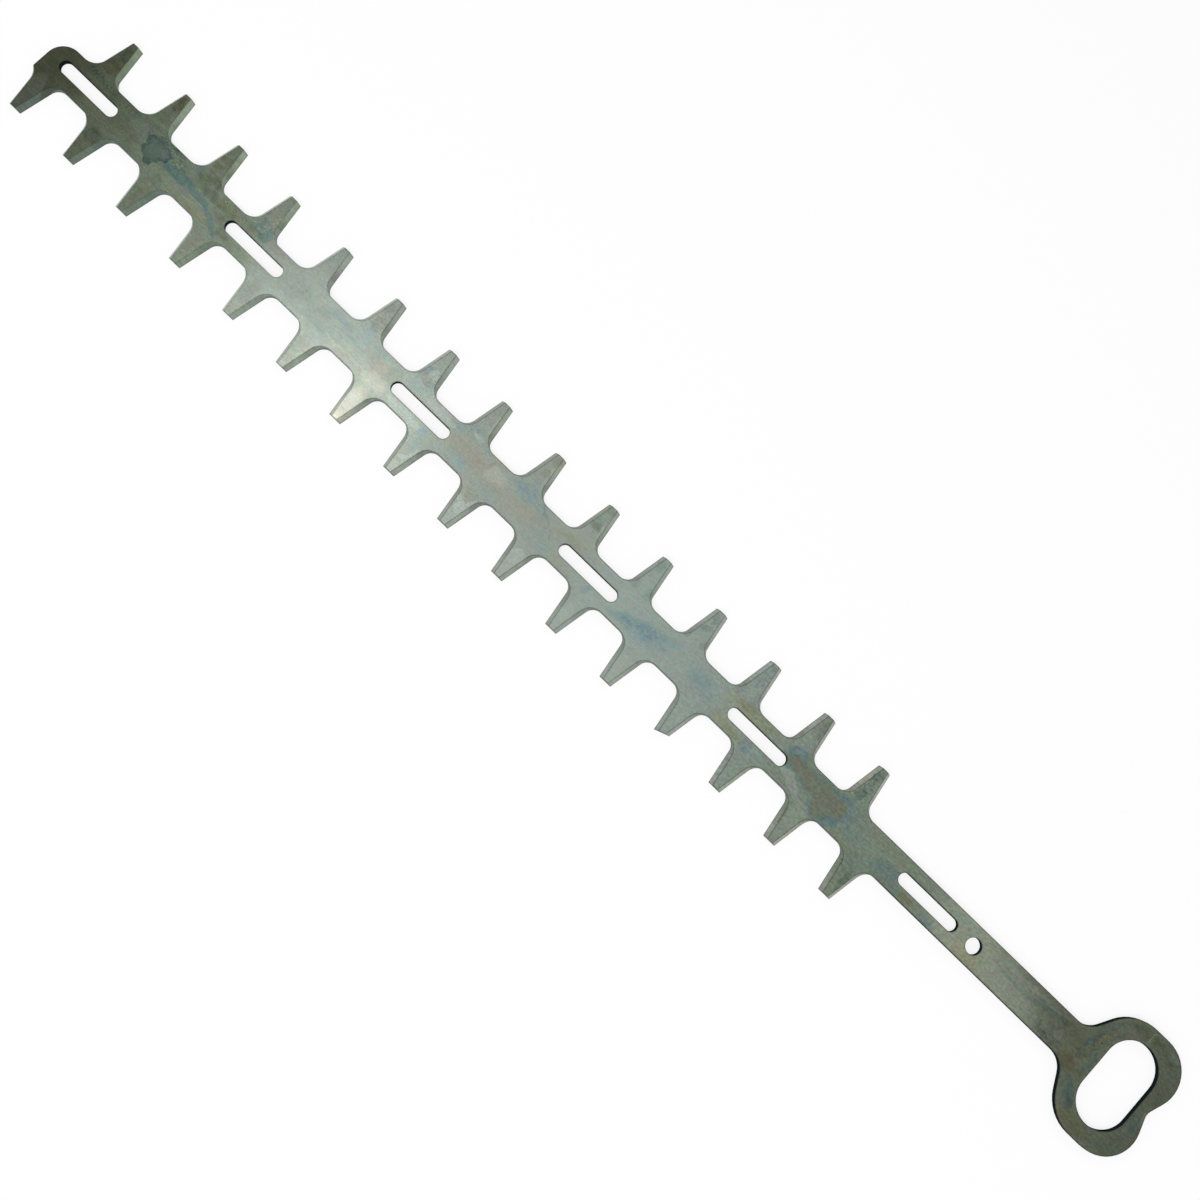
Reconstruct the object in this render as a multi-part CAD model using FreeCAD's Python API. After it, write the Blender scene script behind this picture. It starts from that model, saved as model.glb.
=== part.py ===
import FreeCAD, Part
import math
import os

# Hedge trimmer blade: one flat ground steel cutter, lying on its mating face.
# Millimetres. Origin at the drive eye's centre on the underside, +X along the
# blade to its nose, +Y to the side with one tooth more, +Z up.

# Plate
PLATE_THICKNESS = 3.0
BAR_WIDTH = 18.2

# Drive eye: an oval hole across the blade, in a ring with two lobes
EYE_WIDTH = 26.6
EYE_HEIGHT = 45.5
EYE_SIDE_WALL = 8.8
NECK_WALL = 13.4
NECK_FILLET = 10.8
SHOULDER_OFFSET = 0.9
SHOULDER_RADIUS = 20.0
LOBE_RADIUS = 17.3
NOTCH_WALL = 5.2
NOTCH_ANGLE = 19.4
NOTCH_RADIUS = 5.8

# Shank hole, measured from the eye's centre
SHANK_HOLE_X = 90.8
SHANK_HOLE_DIAMETER = 8.0

# Guide slots along the bar
SLOT_COUNT = 6
SLOT_LENGTH = 35.8
SLOT_WIDTH = 6.4
HOLE_TO_SLOT_WALL = 7.0
NOSE_WALL = 8.0

# Teeth, on both edges of the bar, staggered by half a pitch
TOOTH_PITCH = 35.0
LEFT_TOOTH_COUNT = 16
HOLE_TO_FIRST_TOOTH = 66.2
TOOTH_REACH = 21.5
TOOTH_TIP_WIDTH = 6.9
TOOTH_ROOT_WIDTH = 14.4
ROOT_FILLET = 5.3

# Ground cutting bevel on both flanks of every tooth
BEVEL_ANGLE = 35.0
EDGE_LAND = 0.3
GRIND_STOP = 2.0

# Nose: square end just past the last left tooth, rounded on the right
LAST_TOOTH_TO_NOSE = 8.1
NOSE_RADIUS = 9.7

# One left tooth, counted from the drive end, has lost a corner of its tip
SLANTED_TOOTH = 3
SLANT_DEPTH = 2.4

# How far cutting shapes reach past the faces they cut
OVERCUT = 1.0

# Points closer than this are taken as one
SAME_POINT = 1e-4

RIGHT_TOOTH_COUNT = LEFT_TOOTH_COUNT - 1
HALF_BAR = BAR_WIDTH / 2
HALF_OVER_TIPS = HALF_BAR + TOOTH_REACH
FIRST_LEFT_TOOTH_X = SHANK_HOLE_X + HOLE_TO_FIRST_TOOTH
FIRST_RIGHT_TOOTH_X = FIRST_LEFT_TOOTH_X + TOOTH_PITCH / 2
LEFT_TOOTH_XS = [FIRST_LEFT_TOOTH_X + k * TOOTH_PITCH for k in range(LEFT_TOOTH_COUNT)]
RIGHT_TOOTH_XS = [FIRST_RIGHT_TOOTH_X + k * TOOTH_PITCH for k in range(RIGHT_TOOTH_COUNT)]
NOSE_X = LEFT_TOOTH_XS[-1] + LAST_TOOTH_TO_NOSE
FIRST_SLOT_X = SHANK_HOLE_X + SHANK_HOLE_DIAMETER / 2 + HOLE_TO_SLOT_WALL + SLOT_LENGTH / 2
LAST_SLOT_X = NOSE_X - NOSE_WALL - SLOT_LENGTH / 2
SLOT_PITCH = (LAST_SLOT_X - FIRST_SLOT_X) / (SLOT_COUNT - 1)


def point(x, y, z=0.0):
    """Shorthand for a vector, in the underside's plane unless z is given."""
    return FreeCAD.Vector(x, y, z)


def rounded_outline(corners):
    """Closed wire through (x, y, radius) corners; a radius of 0 leaves the corner sharp."""
    starts, ends, arcs = [], [], []
    for i, (x, y, radius) in enumerate(corners):
        corner = point(x, y)
        before = point(*corners[i - 1][:2]) - corner
        after = point(*corners[(i + 1) % len(corners)][:2]) - corner
        before.normalize()
        after.normalize()
        half_angle = before.getAngle(after) / 2
        setback = radius / math.tan(half_angle)
        bisector = before + after
        arc = None
        if radius > 0:
            bisector.normalize()
            middle = corner + bisector * (radius / math.sin(half_angle) - radius)
            arc = Part.Arc(corner + before * setback, middle, corner + after * setback)
        starts.append(corner + before * setback)
        ends.append(corner + after * setback)
        arcs.append(arc)
    edges = []
    for i, arc in enumerate(arcs):
        if arc is not None:
            edges.append(arc.toShape())
        edges.append(Part.LineSegment(ends[i], starts[(i + 1) % len(arcs)]).toShape())
    return Part.Wire(edges)


def prism(wire, bottom, height):
    """Upright solid on a flat closed wire."""
    solid = Part.Face(wire).extrude(point(0, 0, height))
    solid.translate(point(0, 0, bottom))
    return solid


def through_cut(wire):
    """Upright solid that passes through the plate."""
    return prism(wire, -OVERCUT, PLATE_THICKNESS + 2 * OVERCUT)


def eye_corners():
    """Corners of the ring around the drive eye, from the left neck to the right one."""
    half_height = EYE_HEIGHT / 2 + EYE_SIDE_WALL
    neck_x = EYE_WIDTH / 2 + NECK_WALL
    shoulder_x = EYE_WIDTH / 2 + SHOULDER_OFFSET
    notch_x = -EYE_WIDTH / 2 - NOTCH_WALL
    lobe_x = notch_x - half_height * math.tan(math.radians(NOTCH_ANGLE))
    left = [
        (neck_x, HALF_BAR, NECK_FILLET),
        (shoulder_x, half_height, SHOULDER_RADIUS),
        (lobe_x, half_height, LOBE_RADIUS),
    ]
    right = [(x, -y, radius) for x, y, radius in reversed(left)]
    return left + [(notch_x, 0, NOTCH_RADIUS)] + right


def tooth_corners(centre_x):
    """Corners of one tooth on the +Y edge, from its drive-end root to its nose-end root."""
    half_root = TOOTH_ROOT_WIDTH / 2
    half_tip = TOOTH_TIP_WIDTH / 2
    return [
        (centre_x - half_root, HALF_BAR, ROOT_FILLET),
        (centre_x - half_tip, HALF_OVER_TIPS, 0),
        (centre_x + half_tip, HALF_OVER_TIPS, 0),
        (centre_x + half_root, HALF_BAR, ROOT_FILLET),
    ]


def flat_blank():
    """The plate before its holes and bevels, with the nose squared off and rounded."""
    blank_end = NOSE_X + TOOTH_PITCH
    left = [corner for x in LEFT_TOOTH_XS for corner in tooth_corners(x)]
    right = [(x, -y, r) for cx in RIGHT_TOOTH_XS for x, y, r in tooth_corners(cx)]
    end = [(blank_end, -HALF_BAR, 0), (blank_end, HALF_BAR, 0)]
    outline = rounded_outline(eye_corners() + right + end + left[::-1])
    blank = prism(outline, 0, PLATE_THICKNESS)
    waste = Part.makeBox(
        2 * TOOTH_PITCH,
        4 * HALF_OVER_TIPS,
        PLATE_THICKNESS + 2 * OVERCUT,
        point(NOSE_X, -2 * HALF_OVER_TIPS, -OVERCUT),
    )
    blank = blank.cut(waste)
    corner = point(NOSE_X, -HALF_BAR, PLATE_THICKNESS / 2)
    nose_edges = [e for e in blank.Edges if e.CenterOfMass.isEqual(corner, SAME_POINT)]
    return blank.makeFillet(NOSE_RADIUS, nose_edges)


def oval(length, width):
    """Closed wire of a slot along X with round ends."""
    reach = length / 2 - width / 2
    half = width / 2
    return Part.Wire([
        Part.LineSegment(point(-reach, -half), point(reach, -half)).toShape(),
        Part.Arc(point(reach, -half), point(reach + half, 0), point(reach, half)).toShape(),
        Part.LineSegment(point(reach, half), point(-reach, half)).toShape(),
        Part.Arc(point(-reach, half), point(-reach - half, 0), point(-reach, -half)).toShape(),
    ])


def hole_cuts():
    """Guide slots, shank hole and drive eye."""
    cuts = []
    for k in range(SLOT_COUNT):
        slot = through_cut(oval(SLOT_LENGTH, SLOT_WIDTH))
        slot.translate(point(FIRST_SLOT_X + k * SLOT_PITCH, 0))
        cuts.append(slot)
    hole = Part.Wire(Part.makeCircle(SHANK_HOLE_DIAMETER / 2, point(SHANK_HOLE_X, 0)))
    cuts.append(through_cut(hole))
    eye = through_cut(oval(EYE_HEIGHT, EYE_WIDTH))
    eye.rotate(point(0, 0), point(0, 0, 1), 90)
    cuts.append(eye)
    return cuts


def flank_grind():
    """Cut of the grinding wheel on the nose-end flank of a left tooth centred on X = 0.

    The wheel is as round as the root fillet and widens upwards by the bevel angle.
    It runs in from the tip and stops short of the root, so the bevel fades out there.
    """
    root = point(TOOTH_ROOT_WIDTH / 2, HALF_BAR)
    tip = point(TOOTH_TIP_WIDTH / 2, HALF_OVER_TIPS)
    along = tip - root
    flank_length = along.Length
    along.normalize()
    outward = point(along.y, -along.x)
    half_angle = along.getAngle(point(1, 0)) / 2
    fillet_setback = ROOT_FILLET / math.tan(half_angle)
    stop = root + along * (fillet_setback + GRIND_STOP) + outward * ROOT_FILLET
    run_in = along * (flank_length + OVERCUT)
    wires = []
    for z in (EDGE_LAND - OVERCUT, PLATE_THICKNESS + OVERCUT):
        radius = ROOT_FILLET + (z - EDGE_LAND) * math.tan(math.radians(BEVEL_ANGLE))
        centre = point(stop.x, stop.y, z)
        on_flank = centre - outward * radius
        at_root = centre - along * radius
        halfway = outward + along
        halfway.normalize()
        wires.append(Part.Wire([
            Part.LineSegment(on_flank + run_in, on_flank).toShape(),
            Part.Arc(on_flank, centre - halfway * radius, at_root).toShape(),
            Part.LineSegment(at_root, centre + run_in).toShape(),
            Part.LineSegment(centre + run_in, on_flank + run_in).toShape(),
        ]))
    return Part.makeLoft(wires, True, True)


def bevel_cuts():
    """The grinding cut on both flanks of every tooth."""
    nose_side = flank_grind()
    drive_side = nose_side.mirror(point(0, 0), point(1, 0))
    cuts = []
    for grind in (nose_side, drive_side):
        mirrored = grind.mirror(point(0, 0), point(0, 1))
        for x in LEFT_TOOTH_XS:
            cuts.append(grind.translated(point(x, 0)))
        for x in RIGHT_TOOTH_XS:
            cuts.append(mirrored.translated(point(x, 0)))
    return cuts


def slanted_tip_cut():
    """Takes the drive-end corner off the tip of the slanted tooth."""
    x = LEFT_TOOTH_XS[SLANTED_TOOTH]
    slope = SLANT_DEPTH / TOOTH_TIP_WIDTH
    far = TOOTH_TIP_WIDTH
    whole_corner = point(x + TOOTH_TIP_WIDTH / 2, HALF_OVER_TIPS)
    top_y = HALF_OVER_TIPS + far
    corners = [
        (whole_corner.x - 2 * far, whole_corner.y - 2 * far * slope, 0),
        (whole_corner.x + far, whole_corner.y + far * slope, 0),
        (whole_corner.x + far, top_y, 0),
        (whole_corner.x - 2 * far, top_y, 0),
    ]
    return through_cut(rounded_outline(corners))


def blade():
    """The whole blade as one solid."""
    solid = flat_blank().cut(hole_cuts() + [slanted_tip_cut()])
    solid = solid.cut(bevel_cuts())
    return solid.removeSplitter().Solids[0]


os.makedirs("parts", exist_ok=True)
blade().exportStep("parts/blade.step")
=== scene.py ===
"""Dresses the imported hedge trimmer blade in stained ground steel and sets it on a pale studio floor."""
import math
from typing import NamedTuple

import bpy
from bpy.props import FloatProperty, FloatVectorProperty, PointerProperty
from mathutils import Matrix, Vector

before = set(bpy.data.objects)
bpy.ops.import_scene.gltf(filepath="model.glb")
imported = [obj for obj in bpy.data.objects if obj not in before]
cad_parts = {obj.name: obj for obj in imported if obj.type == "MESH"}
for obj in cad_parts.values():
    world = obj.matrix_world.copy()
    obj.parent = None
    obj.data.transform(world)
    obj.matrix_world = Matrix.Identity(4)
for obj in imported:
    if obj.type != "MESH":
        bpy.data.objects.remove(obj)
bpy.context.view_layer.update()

bl_info = {
    "name": "Hedge trimmer blade",
    "version": (1, 0, 0),
    "blender": (4, 5, 0),
    "location": "3D View > Sidebar > Blade",
    "description": "Ground steel finish and studio stage for a hedge trimmer blade",
    "category": "Material",
}

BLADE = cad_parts["blade"]
MM = 0.001


class ShaderTree:
    """Adds shader nodes to one tree. A method for one kind of node returns that node's output."""

    MIX_SHARE, MIX_UNDER, MIX_OVER, MIX_RESULT = "Factor_Float", "A_Color", "B_Color", "Result_Color"

    def __init__(self, tree):
        self.tree = tree
        self.tree.nodes.clear()

    def feed(self, socket, value):
        """Links a socket or sets a plain value."""
        if isinstance(value, bpy.types.NodeSocket):
            self.tree.links.new(value, socket)
        else:
            socket.default_value = value

    def node(self, kind, inputs=None, **settings):
        """A node of that kind with its settings and inputs filled in."""
        made = self.tree.nodes.new("ShaderNode" + kind)
        for name, value in settings.items():
            setattr(made, name, value)
        for key, value in (inputs or {}).items():
            self.feed(made.inputs[key], value)
        return made

    def math(self, operation, first, second=0.0, clamp=False):
        """The result of a sum on numbers."""
        return self.node("Math", {0: first, 1: second}, operation=operation, use_clamp=clamp).outputs[0]

    def vector(self, operation, first, second=(0.0, 0.0, 0.0)):
        """The result of a sum on vectors."""
        made = self.node("VectorMath", {0: first, 1: second}, operation=operation)
        return made.outputs["Value" if operation in {"LENGTH", "DOT_PRODUCT"} else "Vector"]

    def parts(self, vector):
        """The parts X, Y and Z of a vector."""
        return self.node("SeparateXYZ", {0: vector}).outputs

    def grey(self, value):
        """A vector of one number three times."""
        return self.node("CombineXYZ", dict.fromkeys(range(3), value)).outputs[0]

    def ramp(self, value, begin, end, at_begin=0.0, at_end=1.0):
        """A smooth step between two levels, as a number goes from begin to end."""
        inputs = {"Value": value, "From Min": begin, "From Max": end, "To Min": at_begin, "To Max": at_end}
        return self.node("MapRange", inputs, interpolation_type="SMOOTHSTEP", clamp=False).outputs["Result"]

    def blend(self, share, under, over, mode="MIX"):
        """One colour over another, by a share."""
        made = self.node("Mix", data_type="RGBA", blend_type=mode)
        sockets = {s.identifier: s for s in made.inputs}
        self.feed(sockets[self.MIX_SHARE], share)
        self.feed(sockets[self.MIX_UNDER], under)
        self.feed(sockets[self.MIX_OVER], over)
        return next(s for s in made.outputs if s.identifier == self.MIX_RESULT)

    def noise(self, place, scale, detail=2.0, output="Fac"):
        """Cloudy noise at a scale per metre."""
        return self.node("TexNoise", {"Vector": place, "Scale": scale, "Detail": detail}).outputs[output]


def steel_colour(name, description, colour):
    """A colour property of the steel."""
    return FloatVectorProperty(
        name=name, description=description, subtype="COLOR", min=0.0, max=2.0, default=colour)


class BladeSteel(bpy.types.PropertyGroup):
    """Colours, painted sheen and shade, and grain of the ground steel, and the films that heat, sap and
    oxide left on it.
    """

    # The tones along the blade are partly the steel's own colour and partly painted sheen and shade:
    # lighter through the middle, darker toward both ends
    eye_colour: steel_colour("Eye colour", "Dark steel round the drive eye", (0.166, 0.192, 0.139))
    neck_colour: steel_colour(
        "Neck colour", "Darkest steel where the eye meets the shank", (0.15, 0.168, 0.122))
    shank_colour: steel_colour("Shank colour", "Pale steel of the shank", (0.283, 0.318, 0.247))
    heel_colour: steel_colour("Heel colour", "Bar and teeth next to the shank", (0.197, 0.24, 0.187))
    bar_colour: steel_colour("Bar colour", "Bar and teeth along the middle", (0.224, 0.268, 0.238))
    dull_colour: steel_colour("Dull colour", "Warmer stretch past the middle", (0.217, 0.247, 0.214))
    # Painted sheen: the brightest stretch stands for the lamps' reflection in the bar
    bright_tone_and_sheen: steel_colour("Bright colour", "Brightest stretch of the bar", (0.25, 0.288, 0.25))
    worn_colour: steel_colour("Worn colour", "Darker stretch before the nose", (0.216, 0.262, 0.202))
    fore_colour: steel_colour("Fore colour", "Paler stretch before the nose", (0.266, 0.328, 0.246))
    nose_colour: steel_colour("Nose colour", "Yellowed steel of the nose", (0.215, 0.256, 0.174))
    tip_colour: steel_colour("Tip colour", "Dark yellowed steel at the very end", (0.144, 0.165, 0.106))
    # The bevel tints are painted reflection and shade: lighter, cooler or darker than the face by how the
    # tilted bevels mirror the lamps
    heel_bevel_sheen: steel_colour(
        "Heel bevel tint", "Bevels by the heel, over the face's colour", (1.3, 1.2, 1.22))
    bar_bevel_sheen: steel_colour(
        "Bar bevel tint", "Bevels of the middle, over the face's colour", (1.18, 1.2, 1.17))
    nose_bevel_sheen: steel_colour(
        "Nose bevel tint", "Bevels by the nose, over the face's colour", (1.04, 1.07, 1.13))
    lee_bevel_shade: steel_colour(
        "Lee bevel tint", "Bevels by the nose on the +Y side, over that", (0.64, 0.67, 0.72))
    root_bevel_shade: steel_colour("Root bevel tint", "Bevels next to the bar, over that", (0.8, 0.8, 0.8))
    # Painted shade: the walls' dark colour is partly oxide and partly the shade they lie in
    wall_oxide_and_shade: steel_colour(
        "Wall colour", "Dark oxide on the walls of the eye, holes and slots", (0.017, 0.024, 0.026))
    gap_colour: steel_colour("Gap colour", "Ground walls between the teeth", (0.14, 0.165, 0.165))
    # Painted shade in the reflection: darkens what the walls mirror at a flat angle
    wall_glance_shade: steel_colour(
        "Wall glance", "What the dark walls mirror at a flat angle", (0.13, 0.29, 0.34))
    # Darkens the steel along the edges of the face, the bevels and the walls
    edge_tint: steel_colour(
        "Edge tint", "Dirt along the edges, over the steel's colour", (0.34, 0.31, 0.27))
    blue_tint: steel_colour("Blue tint", "Blue oxide film, over the steel's colour", (0.63, 0.81, 0.96))
    brown_tint: steel_colour("Brown tint", "Brown sap film, over the steel's colour", (0.76, 0.7, 0.62))
    sap_tint: steel_colour("Sap tint", "Yellow sap film, over the steel's colour", (0.98, 0.915, 0.75))
    rose_tint: steel_colour("Rose tint", "Pinkish film, over the steel's colour", (1.03, 0.91, 0.86))
    speck_tint: steel_colour("Speck tint", "Blue-black specks, over the steel's colour", (0.5, 0.66, 0.78))
    scale_tint: steel_colour("Scale tint", "Dark film inside the blue-edged patch", (0.6, 0.68, 0.78))
    bloom_tint: steel_colour("Bloom tint", "Pale blue film, over the steel's colour", (0.855, 0.965, 1.1))
    dark_tint: steel_colour("Dark tint", "Dark mottles, over the steel's colour", (0.54, 0.6, 0.58))
    tarnish_colour: steel_colour("Tarnish colour", "Brown patch of burnt sap", (0.164, 0.178, 0.131))
    pale_colour: steel_colour("Pale colour", "Cleaner spots and strips", (0.31, 0.35, 0.312))
    # Painted highlight: warm glint mixed over the steel
    gold_highlight_colour: steel_colour("Gold colour", "Warm polished glint", (0.405, 0.395, 0.335))
    roughness: FloatProperty(
        name="Roughness", description="How far the ground face blurs what it mirrors",
        subtype="FACTOR", min=0.0, max=1.0, default=0.26)
    grain_depth: FloatProperty(
        name="Grain depth", description="Depth of the lengthwise grinding lines",
        unit="LENGTH", min=0.0, default=0.012 * MM)
    edge_width: FloatProperty(
        name="Edge width", description="How far the dark lines reach from an edge",
        unit="LENGTH", min=0.0, default=0.9 * MM)


class Stain(NamedTuple):
    """An oval on the face: centre and half sizes in millimetres, turn in degrees, strength as a share."""

    x: float
    y: float
    half_length: float
    half_width: float
    turn: float
    strength: float


# The lists of stains run from the drive eye to the nose

# Brown patch of burnt sap by the heel
TARNISH_STAINS = (
    Stain(180.5, -1.5, 6.4, 5.4, 15, 1.0),
    Stain(185.5, 3, 5.4, 5.6, 0, 1.0),
    Stain(190, -2.6, 13.5, 4.6, 0, 1.0),
    Stain(203, -3.8, 9.5, 3.1, 0, 1.0),
)

# Dark patch before the nose
SCALE_STAINS = (
    Stain(616.4, -1.8, 4.2, 3, 14, 1.0),
    Stain(621, 4, 2.6, 2.2, 0, 1.0),
    Stain(621.4, -3, 7.4, 3.8, -8, 1.0),
    Stain(621.6, 0.4, 5.4, 4.2, 0, 1.0),
)

# Yellow sap films
SAP_STAINS = (
    Stain(4, 27.5, 13, 3.6, 0, 0.9),
    Stain(4, -27, 12, 3.2, 0, 0.4),
    Stain(18, -12, 3, 8, -28, 0.9),
    Stain(24, 8, 7, 3.4, -20, 0.6),
    Stain(91, 6, 9, 4, 0, 0.9),
    Stain(128, 6.4, 6, 2.6, 0, 0.8),
    Stain(150, -6, 16, 3, 0, 0.3),
    Stain(165, 9, 9, 6, 0, 0.4),
    Stain(236, -6, 18, 3.4, 0, 1.0),
    Stain(242, 6.2, 13, 3, 0, 0.95),
    Stain(249, 0, 3, 9, 0, 0.6),
    Stain(350, 6.4, 9, 2.4, 0, 0.4),
    Stain(355, -6, 9, 3, 0, 0.4),
    Stain(576, -5, 8, 4, 0, 0.6),
    Stain(597, 6, 14, 3, 0, 0.3),
)

# Soft blue films
HAZE_STAINS = (
    Stain(-17, 8, 3.4, 6, 0, 0.8),
    Stain(-16, -23, 7, 3, -35, 0.2),
    Stain(-13, 24, 7, 3, 35, 0.5),
    Stain(18.5, -18, 2.4, 9, -35, 0.9),
    Stain(19, 14, 2.6, 4.4, 30, 0.7),
    Stain(46, -4, 10, 2.6, 0, 0.6),
    Stain(105, -6, 8, 3, 0, 0.45),
    Stain(114, 7, 6, 2.6, 0, 0.8),
    Stain(157, 10, 8, 8, 0, 0.35),
    Stain(165, 0, 9, 7, 0, 0.3),
    Stain(171.5, -3, 4, 8, 8, 0.4),
    Stain(177, -9, 3.2, 3.2, 0, 0.5),
    Stain(178, 6, 5, 3, 40, 0.9),
    Stain(182, -6.4, 5, 2, 0, 0.4),
    Stain(204, 4, 11, 4, -24, 0.15),
    Stain(208, -13, 3, 5, 8, 0.4),
    Stain(230, 7.4, 3.4, 4.2, 0, 0.6),
    Stain(258, 3.5, 9, 5, -20, 0.35),
    Stain(264, 2.4, 8, 4, 0, 0.3),
    Stain(266, -0.5, 9, 4.4, 0, 0.75),
    Stain(289, 1.6, 4, 3, 0, 0.6),
    Stain(290, -2.6, 8, 3.4, 22, 0.8),
    Stain(296, 1.6, 6, 3, 10, 1.0),
    Stain(298, 1.4, 11, 5.4, 14, 1.0),
    Stain(309, 3.2, 12, 2.8, 10, 0.95),
    Stain(333, 6.4, 2.6, 2.8, 0, 0.9),
    Stain(366, 2.4, 5, 5.4, -20, 0.4),
    Stain(371, -4, 6, 2.4, -35, 0.25),
    Stain(371, 0, 4, 4, 0, 0.25),
    Stain(375, -5, 9, 2.6, -30, 0.3),
    Stain(383, -4.4, 8, 3, 0, 0.4),
    Stain(482, -7, 11, 2, 4, 0.45),
    Stain(486, -3.4, 12, 3, 0, 0.2),
    Stain(490, -1.5, 16, 2, 0, 0.4),
    Stain(500, -5, 15, 2.4, 2, 0.55),
    Stain(508, 5, 7, 9, 10, 0.3),
    Stain(520, 0, 24, 7, 0, 0.25),
    Stain(590, -6, 5, 3, 0, 0.4),
    Stain(600, -9, 3, 4.4, 20, 0.7),
    Stain(646, 14.5, 5.5, 4.4, 0, 0.7),
    Stain(664, -23, 3.4, 4, 0, 0.4),
    Stain(668, -9, 5, 2, 0, 0.5),
)

# Pale blue films
BLOOM_STAINS = (
    Stain(22, -6.4, 2.4, 5, -20, 0.9),
    Stain(171, -2, 4, 7, 8, 0.8),
    Stain(178, -7, 7, 3, 0, 0.9),
    Stain(180, 6.4, 6, 3, 30, 0.9),
    Stain(225, 7.4, 8, 2.6, 0, 0.7),
    Stain(296, 7, 8, 3, 0, 0.4),
    Stain(361, 7, 5, 3, 0, 1.0),
    Stain(369, 8.4, 4.4, 3, 0, 0.8),
    Stain(372, -7, 5.4, 1.6, 0, 0.8),
    Stain(384, -14, 4, 2.8, 0, 0.8),
    Stain(385, -8, 8.4, 4.4, 0, 1.0),
    Stain(397, 6, 6, 3.4, 0, 0.9),
    Stain(410.5, -8.4, 4.4, 1, -10, 0.9),
    Stain(417, 5.4, 6.4, 3.2, 0, 1.0),
    Stain(419, -12.4, 3, 1.8, 20, 0.8),
    Stain(423, -10.4, 3, 2.2, 0, 0.8),
    Stain(428, -7.4, 3.6, 2.6, 0, 1.0),
    Stain(436.5, 14.5, 2.2, 4.4, 10, 0.8),
    Stain(438.5, 7, 2.8, 4.8, 0, 1.0),
    Stain(455, -7, 7, 3, 10, 0.8),
    Stain(489, -10, 5, 5, 0, 0.6),
    Stain(577.5, 6.2, 5, 1.8, -36, 0.8),
    Stain(584.6, 2.8, 5, 2, -26, 0.8),
    Stain(593, 0.6, 8, 2, 0, 0.8),
    Stain(604, 0, 8, 2, 0, 0.8),
)

# Crisp blue films
BLUE_STAINS = (
    Stain(8, -28, 4, 1.2, 20, 0.5),
    Stain(14.5, 19, 2.6, 6, 35, 0.9),
    Stain(15, -14, 0.9, 6, -28, 0.7),
    Stain(16.2, 1, 1, 6, 0, 0.8),
    Stain(22, -8, 1.6, 6, -25, 0.9),
    Stain(47, 4, 0.9, 5, 5, 0.5),
    Stain(58, -1.4, 17, 0.9, 2, 0.6),
    Stain(137, 7, 4.4, 3, 0, 0.55),
    Stain(144, 3.8, 7.5, 4.6, 24, 0.85),
    Stain(210, -8.5, 5, 2.6, 15, 0.85),
    Stain(452, -11.5, 4, 1.4, 20, 0.55),
    Stain(457.5, -14, 1.6, 5, -15, 0.65),
    Stain(554.6, -9, 1.2, 3, 0, 0.9),
    Stain(556, -6, 2.6, 2.2, 0, 0.9),
    Stain(556.6, -11.4, 2.8, 1.4, 10, 0.8),
    Stain(558.6, -14.4, 1.6, 1, 0, 0.6),
    Stain(560.4, -9, 2, 2.6, 0, 0.8),
    Stain(561.6, -13, 1.2, 2, 0, 0.7),
    Stain(563.4, -7, 1.4, 1.6, 0, 0.6),
    Stain(577, 6.4, 6, 1.5, -36, 0.9),
    Stain(584.4, 2.6, 5, 1.6, -26, 1.0),
    Stain(593, 0.6, 8, 1.6, 0, 1.0),
    Stain(604, -0.4, 9.4, 2.4, 0, 1.0),
)

# Stretches with blue-black specks
SPECK_STAINS = (
    Stain(0, 27, 18, 3, 0, 0.2),
    Stain(0, -27, 18, 3, 0, 0.2),
    Stain(20, -6, 4, 14, -20, 0.5),
    Stain(40, 4, 6, 5, 0, 0.45),
    Stain(155.4, 20, 1.8, 7, 0, 0.6),
    Stain(160, 12, 4, 8, 0, 0.4),
    Stain(175.5, -19, 3, 10, 2, 0.9),
    Stain(200, -4, 14, 3, 0, 0.3),
    Stain(208, -21, 3, 7, 0, 0.25),
    Stain(245, -21, 2.6, 6, 0, 0.6),
    Stain(280, -23, 3, 6, 20, 0.4),
    Stain(302, 2, 12, 4, 14, 0.4),
    Stain(315, -24, 3, 6, 0, 0.3),
    Stain(350, -21, 3.4, 7, 0, 0.35),
    Stain(386, -9, 8, 4, 0, 0.35),
    Stain(422, -10, 7, 4, 0, 0.3),
    Stain(454, -18, 3.6, 8, 0, 0.35),
    Stain(489, -19, 3.6, 9, 0, 0.35),
    Stain(558.6, -9.4, 6, 6, 0, 0.25),
    Stain(594, -25, 2.6, 5, 0, 0.4),
    Stain(604, -1, 9, 2.6, 0, 0.55),
    Stain(609, -4.5, 8, 3, 0, 0.8),
    Stain(612, 0.4, 3, 2.4, 0, 0.8),
    Stain(614, -6.4, 3, 1.6, 20, 0.9),
    Stain(616, 1.6, 2.4, 1.8, 0, 0.7),
    Stain(618, -8, 8, 2, 0, 1.0),
    Stain(627, -4, 3, 3, 0, 0.6),
    Stain(629.5, -22, 2.4, 7, 0, 0.4),
    Stain(642, -7, 6, 1.8, 0, 0.7),
    Stain(656, -7, 7, 1.8, 0, 0.8),
    Stain(664, -24, 3, 5, 0, 0.5),
    Stain(667, -8.5, 6, 2, 0, 1.0),
)

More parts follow.
